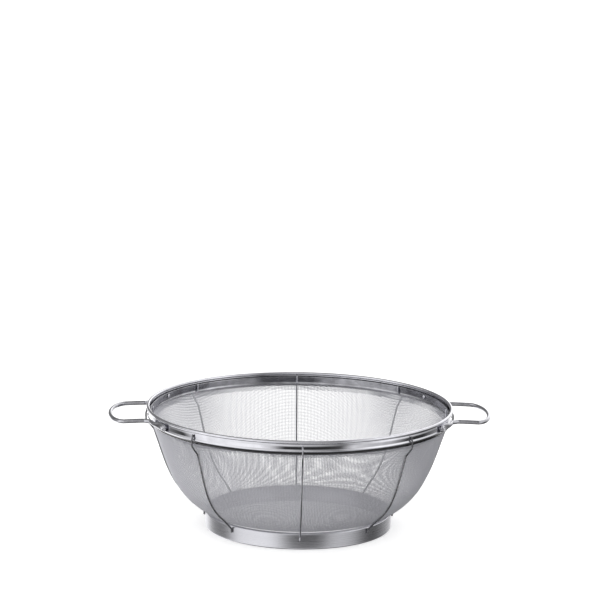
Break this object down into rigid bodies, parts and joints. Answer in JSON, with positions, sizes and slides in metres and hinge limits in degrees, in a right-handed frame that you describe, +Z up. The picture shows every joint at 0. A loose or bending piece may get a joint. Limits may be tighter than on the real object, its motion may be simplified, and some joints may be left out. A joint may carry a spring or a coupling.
{
  "type": "mesh colander",
  "caption": "Round woven-wire kitchen colander with a rolled rim band, sheet foot ring, outside ribs and two riveted wire loop handles.",
  "frame": {"origin": "centre of the foot ring's underside, on the surface that the colander stands on", "axes": "+Z up through the bowl's mouth, X through both handles, -Y towards the front"},
  "size_m": [0.3496, 0.282, 0.113],
  "materials": {
    "polished_band": "polished stainless steel",
    "satin_sheet": "satin stainless steel",
    "wire": "bright drawn stainless wire",
    "woven_wire": "plain-weave fine stainless wire"
  },
  "bodies": {
    "root": {"mesh_bowl": "woven_wire", "rim_band": "polished_band", "rim_core_wire": "wire", "rim_clamp_ring": "polished_band", "foot_ring": "satin_sheet", "rib_1": "wire", "rib_2": "wire", "rib_3": "wire", "rib_4": "wire", "rib_5": "wire", "rib_6": "wire", "rib_7": "wire", "rib_8": "wire", "rib_backing_1": "wire", "rib_backing_2": "wire", "rib_backing_3": "wire", "rib_backing_4": "wire", "rib_backing_5": "wire", "rib_backing_6": "wire", "rib_backing_7": "wire", "rib_backing_8": "wire", "handle_right": "wire", "handle_left": "wire", "rivet_right_front": "polished_band", "rivet_right_back": "polished_band", "rivet_left_front": "polished_band", "rivet_left_back": "polished_band"}
  },
  "joints": []
}
